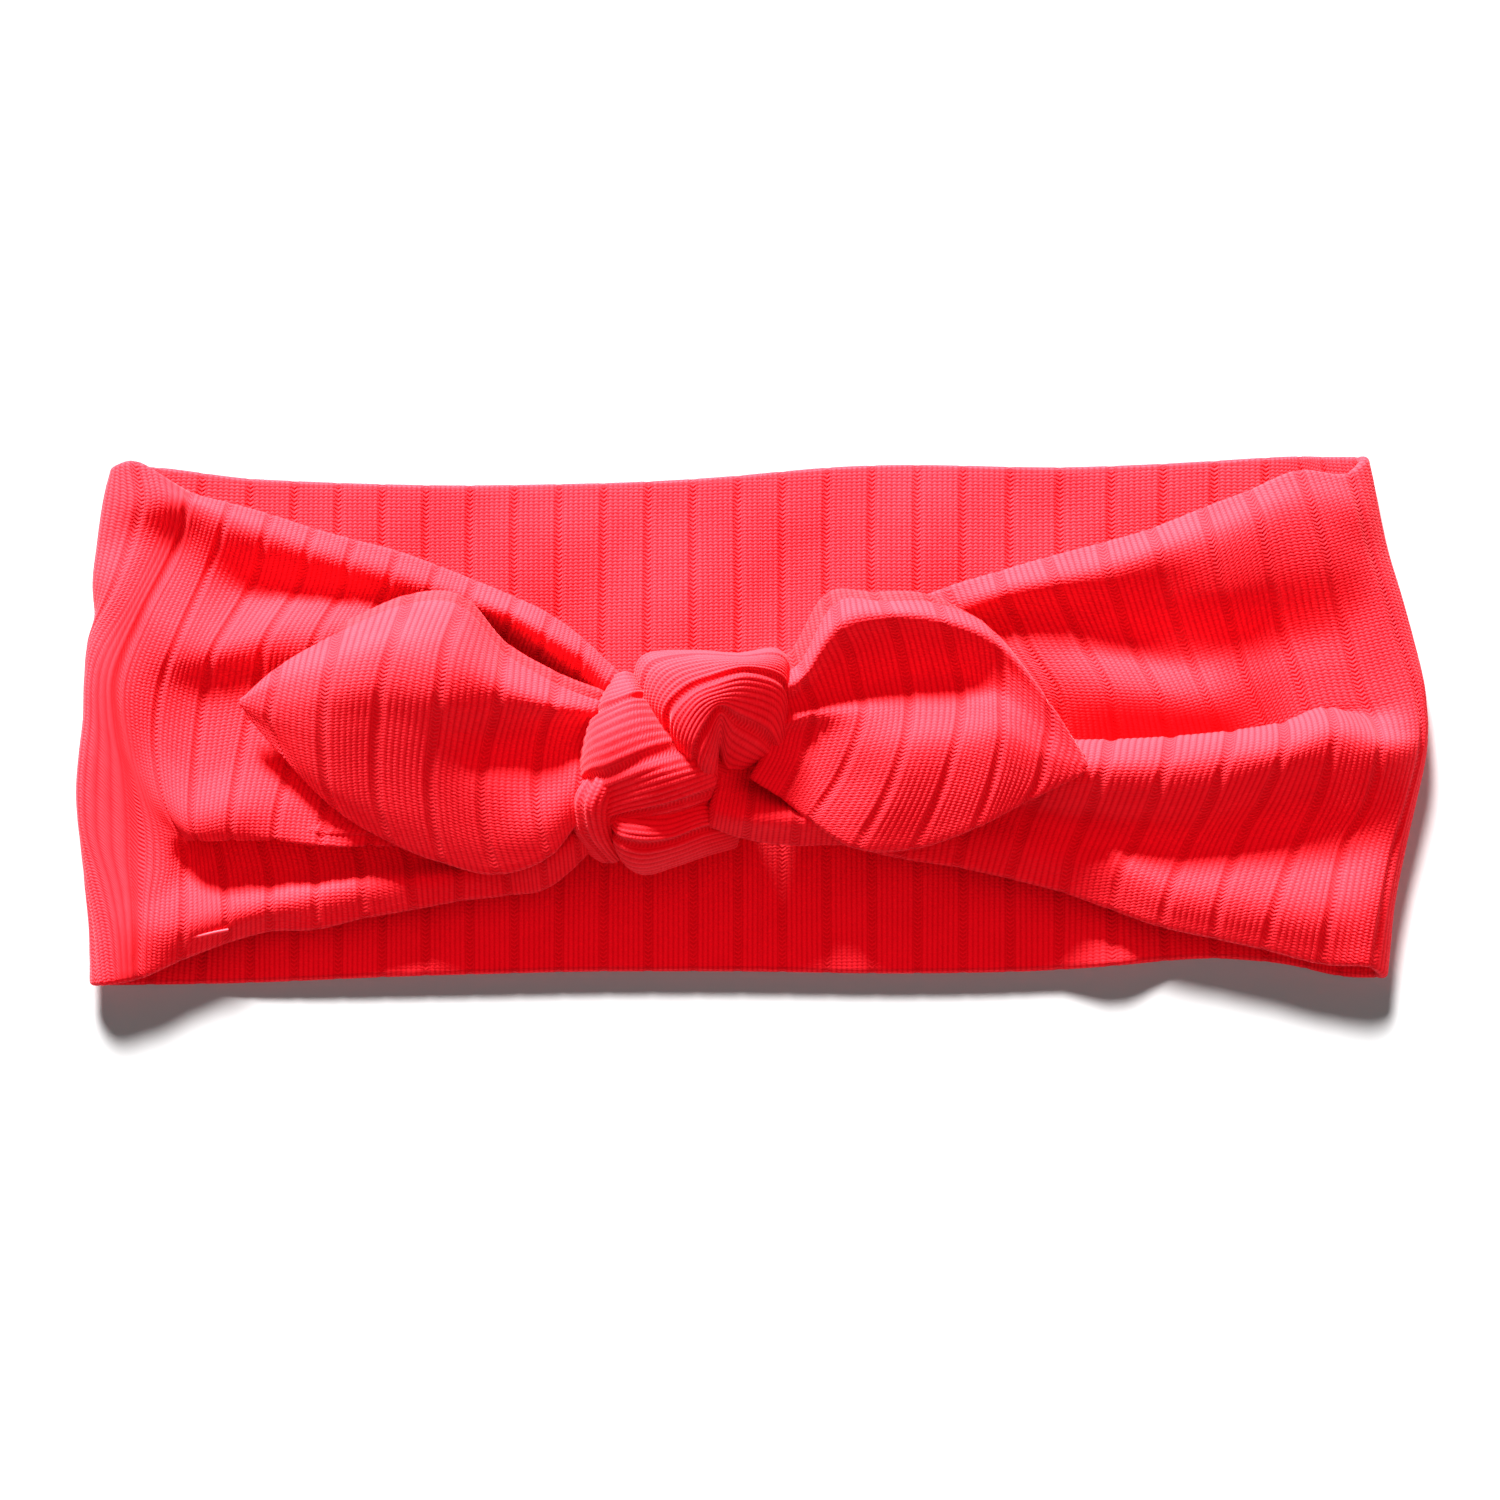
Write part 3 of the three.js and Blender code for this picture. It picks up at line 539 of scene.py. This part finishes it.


# each knit's second colour is painted shade, used in the grooves and in the valleys between wales
outer_knit = knit_material("outer_knit", (0.93, 0.096, 0.127, 1), (0.6, 0.004, 0.02, 1))
lining_knit = knit_material("lining_knit", (0.93, 0.085, 0.108, 1), (0.6, 0.004, 0.016, 1))
thread = bpy.data.materials.new("thread")
thread.use_nodes = True
thread.node_tree.nodes["Principled BSDF"].inputs["Base Color"].default_value = (0.95, 0.16, 0.2, 1)
thread.node_tree.nodes["Principled BSDF"].inputs["Roughness"].default_value = 0.7

# ---------------------------------------------------------------- the band, one line at a time
LEFT_FRONT = deeper(LEFT_FRONT, 9, 1.35)
RIGHT_FRONT = deeper(RIGHT_FRONT, 9, 1.35)
ROWS = len(LEFT_FRONT[0][1])
TURN = RIM_RADIUS * math.sqrt(0.5)


def band_row(r):
    """Control points of one line round the band, from the left neck to the right one."""
    share = r / (ROWS - 1)
    row = [(place,) + tuple(line[r]) for place, line in LEFT_FRONT[::-1]]
    x, y = LEFT_RIM[r]
    out = RIM_RADIUS - TURN
    rim = -14.2 - 0.9 * min(1, r / 5) + 0.5 * max(0, (r - 9) / 3)
    if r < len(LEFT_TURN):
        row.append((-15,) + LEFT_TURN[r])
        rim = -14.3
    else:
        row.append((rim - 0.45, x + out, y, RIM_HEIGHT + TURN))
    row.append((rim, x, y, RIM_HEIGHT))
    row.append((rim + 0.45, x + out, y, RIM_HEIGHT - TURN))
    row.append((rim + 0.9, x + RIM_RADIUS, y, RIM_HEIGHT - RIM_RADIUS))
    for place in range(-11, 12):
        bx = spline(*zip(*BACK_STRIPES), [place])[0]
        top, bottom = curve_y(BACK_UPPER, bx), curve_y(BACK_LOWER, bx)
        by = top + (bottom - top) * share
        wave = 1 + 0.6 * math.sin(bx * 0.105 + by * 0.09 + 1.5)
        wave = wave + 0.4 * math.sin(bx * 0.19 - by * 0.12)
        lift = 0.1 + 1.3 * wave * math.sin(math.pi * share) ** 0.7 * max(0, 1 - abs(bx / 98) ** 4)
        lift += 1.3 * share ** 6 * max(0, 1 - abs(bx / 90) ** 4)
        lift += 3.6 * math.exp(-((bx - 63) / 6) ** 2 - ((by + 39.5) / 5) ** 2)
        row.append((place, bx, by, lift))
    x, y = RIGHT_RIM[r]
    rim = 14.4
    row.append((rim - 0.9, x - RIM_RADIUS, y, RIM_HEIGHT - RIM_RADIUS))
    row.append((rim - 0.45, x - out, y, RIM_HEIGHT - TURN))
    row.append((rim, x, y, RIM_HEIGHT))
    row.append((15,) + RIGHT_TURN[r])
    row += [(place,) + tuple(line[r]) for place, line in RIGHT_FRONT]
    return row


band_rows = [band_row(r) for r in range(ROWS)]


def band_piece(name, start, end, nodes):
    """One stretch of the band, from one place along the knit to another."""
    places = places_along(start, end)
    obj = flat_tube(name, surface(band_rows, places), places, BAND_THICK, outer_knit)
    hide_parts(*nodes)
    return obj


def four(prefix):
    """The outer, lining and two seams of one stretch."""
    return [prefix + part for part in ("_outer", "_lining", "_top_seam", "_bottom_seam")]


def metres(x, y, z):
    return (x * MM, y * MM, z * MM)


band_left_front = band_piece("band_left_front", -28, -16.2,
                             four("front_left") + four("left_neck") + ["front_left_pleat"])
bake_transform(band_left_front)
band_left_fold = band_piece("band_left_fold", -16.2, -13.6, ["left_fold_back", "left_fold_front"])
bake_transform(band_left_fold)
band_back_left = band_piece("band_back_left", -13.6, 0.5, four("back_left") + four("back_middle"))
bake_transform(band_back_left)
band_back_right = band_piece("band_back_right", 0.5, 13.6, four("back_right"))
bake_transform(band_back_right)
band_right_fold = band_piece("band_right_fold", 13.6, 16.2, ["right_fold_back", "right_fold_front"])
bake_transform(band_right_fold)
band_right_front = band_piece("band_right_front", 16.2, 28,
                              four("front_right") + four("right_neck") + ["front_right_pleat"])
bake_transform(band_right_front)


# ---------------------------------------------------------------- the bow's ears
def net_piece(name, net, thick, side, material, nodes, per_row=6, ribs=1):
    """One doubled piece drawn through a net of control points."""
    places = places_along(net[0][0], net[-1][0])
    grid = surface(rows_of(net), places, per_row)
    obj = flat_tube(name, grid, places, thick, material, side, ribs)
    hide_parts(*nodes)
    return obj


def shifted(net, by, first=0):
    """The same cloth again, moved: by is one (x, y, z) for each row of points."""
    return [(place, [tuple(np.add(p, d)) for p, d in zip(line, by)])
            for place, line in net[first:]]


left_ear_front = net_piece("left_ear_front_cloth", LEFT_EAR, EAR_THICK, -1, outer_knit,
                           ["left_ear_front", "left_ear_seam"])
right_ear_front = net_piece("right_ear_front_cloth", RIGHT_EAR, EAR_THICK, 1, outer_knit,
                            ["right_ear_front", "right_ear_seam"])
LEFT_BACK = shifted(LEFT_EAR, [(0.3, 1.6, -2.6), (0, -0.5, -3.4), (0, -1, -4), (0, 0, -3.4),
                               (0, 0.5, -3.6), (0, 1.2, -3.2), (0, 1.5, -2)], 2)
RIGHT_BACK = shifted(RIGHT_EAR, [(-1.6, 1.4, -3.4), (-1, 0, -4.4), (0, -0.5, -3.6), (0, 0, -2),
                                 (0, 0, -3.4), (0, 0.5, -4), (0, 1.2, -2.6), (0, 1.8, -2)], 2)
left_ear_back = net_piece("left_ear_back_cloth", LEFT_BACK, EAR_THICK, -1, lining_knit,
                          ["left_ear_back"], 4)
right_ear_back = net_piece("right_ear_back_cloth", RIGHT_BACK, EAR_THICK, 1, lining_knit,
                           ["right_ear_back"], 4)
for piece in (left_ear_front, left_ear_back):
    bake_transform(piece)
for piece in (right_ear_front, right_ear_back):
    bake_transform(piece)

# ---------------------------------------------------------------- the knot
middle_wrap = net_piece("knot_middle_wrap_cloth", MIDDLE_WRAP, WRAP_THICK, 1, outer_knit,
                        ["knot_middle_wrap"], 8, KNOT_RIBS)
upper_wrap = net_piece("knot_upper_wrap_cloth", UPPER_WRAP, WRAP_THICK, 1, outer_knit,
                       ["knot_upper_wrap"], 8, KNOT_RIBS)
lower_lobe = net_piece("knot_lower_lobe_cloth", LOWER_LOBE, WRAP_THICK, 1, outer_knit,
                       ["knot_lower_lobe"], 8, KNOT_RIBS)
left_roll = net_piece("knot_left_roll_cloth", LEFT_ROLL, WRAP_THICK, 1, outer_knit,
                      ["knot_left_roll"], 8, KNOT_RIBS)

CORE_MIDDLE = np.array([-14.5, -5, 13.2])
CORE_HALF = np.array([12, 11.5, 6.2])
CORE_POWER = 0.9


def core_rows():
    """A rounded bundle under the wraps, its ribs running round it."""
    rows = []
    for lat in np.linspace(-1, 1, 9):
        row = []
        ring = math.cos(lat * 1.5) ** CORE_POWER
        for k in range(25):
            turn = 2 * math.pi * k / 24
            unit_point = np.array([ring * math.cos(turn), ring * math.sin(turn),
                                   math.sin(lat * 1.5)])
            row.append((k / 2,) + tuple(CORE_MIDDLE + CORE_HALF * unit_point))
        rows.append(row)
    return rows


def closed_shell(name, grid, places, material):
    """A surface whose first and last lines meet, with a flat cap on each of its two small ends."""
    nu, nv = grid.shape[:2]
    i = np.arange(nu - 1)[:, None]
    j = np.arange(nv - 1)[None, :]
    k = (i + 1) % (nu - 1)
    quads = np.stack([i * nv + j, k * nv + j, k * nv + j + 1, i * nv + j + 1], axis=2)
    count = nu - 1
    caps = []
    for column, flip in ((0, True), (nv - 1, False)):
        for m in range(count // 2 - 1):
            quad = [line * nv + column for line in (m, m + 1, count - 2 - m, count - 1 - m)]
            caps.append(quad[::-1] if flip else quad)
    across = np.linspace(-20, 20, nv)
    uv = np.stack(np.meshgrid(places * STRIPE, across, indexing="ij"), axis=2).reshape(-1, 2)
    faces = np.concatenate([quads.reshape(-1, 4), np.array(caps)])
    return make_mesh(name, grid.reshape(-1, 3), faces, uv, material)


core_places = places_along(0, 12)
core = closed_shell("knot_core_cloth", surface(core_rows(), core_places, 6), core_places,
                    outer_knit)
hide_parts("knot_core")
for piece in (middle_wrap, upper_wrap, lower_lobe, left_roll, core):
    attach(piece, "knot")

# the pale closing stitch near the lower left edge
stitch = bpy.data.curves.new("closing_stitch", "CURVE")
stitch.dimensions = "3D"
stitch.bevel_depth = 0.28 * MM
line = stitch.splines.new("POLY")
line.points.add(3)
for point, where in zip(line.points, [(-98.2, -38, 9.6), (-96, -37.6, 9.9), (-93.4, -37, 9.9),
                                      (-91.2, -36.6, 9.7)]):
    point.co = metres(*where) + (1,)
stitch.materials.append(thread)
closing_stitch = bpy.data.objects.new("closing_stitch_thread", stitch)
bpy.context.scene.collection.objects.link(closing_stitch)
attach(closing_stitch, "front_left")
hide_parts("closing_stitch")

# ---------------------------------------------------------------- floor, light
bpy.ops.mesh.primitive_plane_add(size=14, location=(0, 0, -0.00125))
floor = bpy.context.object
floor.name = "floor"
pale = bpy.data.materials.new("floor")
pale.use_nodes = True
pale.node_tree.nodes["Principled BSDF"].inputs["Base Color"].default_value = (0.92, 0.92, 0.92, 1)
pale.node_tree.nodes["Principled BSDF"].inputs["Roughness"].default_value = 0.9
pale.node_tree.nodes["Principled BSDF"].inputs["Specular IOR Level"].default_value = 0.1
pale.node_tree.nodes["Principled BSDF"].inputs["Emission Color"].default_value = (1, 1, 1, 1)
pale.node_tree.nodes["Principled BSDF"].inputs["Emission Strength"].default_value = 0.14
floor.data.materials.append(pale)
bpy.ops.mesh.primitive_cylinder_add(vertices=96, radius=6, depth=4, end_fill_type="NOTHING",
                                    location=(0, 0, 1.99))
wall = bpy.context.object
wall.name = "backdrop"
plain = bpy.data.materials.new("backdrop")
plain.use_nodes = True
plain.node_tree.nodes["Principled BSDF"].inputs["Base Color"].default_value = (0, 0, 0, 1)
plain.node_tree.nodes["Principled BSDF"].inputs["Emission Color"].default_value = (1, 1, 1, 1)
plain.node_tree.nodes["Principled BSDF"].inputs["Emission Strength"].default_value = 1.0
wall.data.materials.append(plain)
wall.visible_diffuse = False
wall.visible_glossy = False
wall.visible_shadow = False

sun = bpy.data.objects.new("key", bpy.data.lights.new("key", "SUN"))
bpy.context.scene.collection.objects.link(sun)
sun.data.energy = 10.6
sun.data.angle = math.radians(11)
sun.rotation_euler = Vector((-0.32, 1.0, 0.42)).to_track_quat("Z", "Y").to_euler()
# a soft red fill that only the cloth takes, for the glow that its bright dye has in shade
cloth = bpy.data.collections.new("cloth")
bpy.context.scene.collection.children.link(cloth)
for obj in bpy.context.scene.objects:
    if obj.type in ("MESH", "CURVE") and obj not in (floor, wall) and not obj.hide_render:
        cloth.objects.link(obj)
fill = bpy.data.objects.new("fill", bpy.data.lights.new("fill", "SUN"))
bpy.context.scene.collection.objects.link(fill)
fill.data.color = (1, 0.006, 0.1)
fill.data.energy = 2.6
fill.data.angle = math.radians(170)
fill.rotation_euler = Vector((0, 0.3, 1)).to_track_quat("Z", "Y").to_euler()
fill.light_linking.receiver_collection = cloth
sun.light_linking.receiver_collection = cloth
table = bpy.data.collections.new("table")
bpy.context.scene.collection.children.link(table)
table.objects.link(floor)
high = bpy.data.objects.new("high", bpy.data.lights.new("high", "SUN"))
bpy.context.scene.collection.objects.link(high)
high.data.energy = 5.2
high.data.angle = math.radians(14)
high.rotation_euler = Vector((-0.2, 1.15, 1)).to_track_quat("Z", "Y").to_euler()
high.light_linking.receiver_collection = table
world = bpy.data.worlds.new("world")
bpy.context.scene.world = world
world.use_nodes = True
world.node_tree.nodes["Background"].inputs[0].default_value = (1, 1, 1, 1)
world.node_tree.nodes["Background"].inputs[1].default_value = 0.045
bpy.context.scene.view_settings.view_transform = "Standard"
bpy.context.scene.view_settings.gamma = 0.78
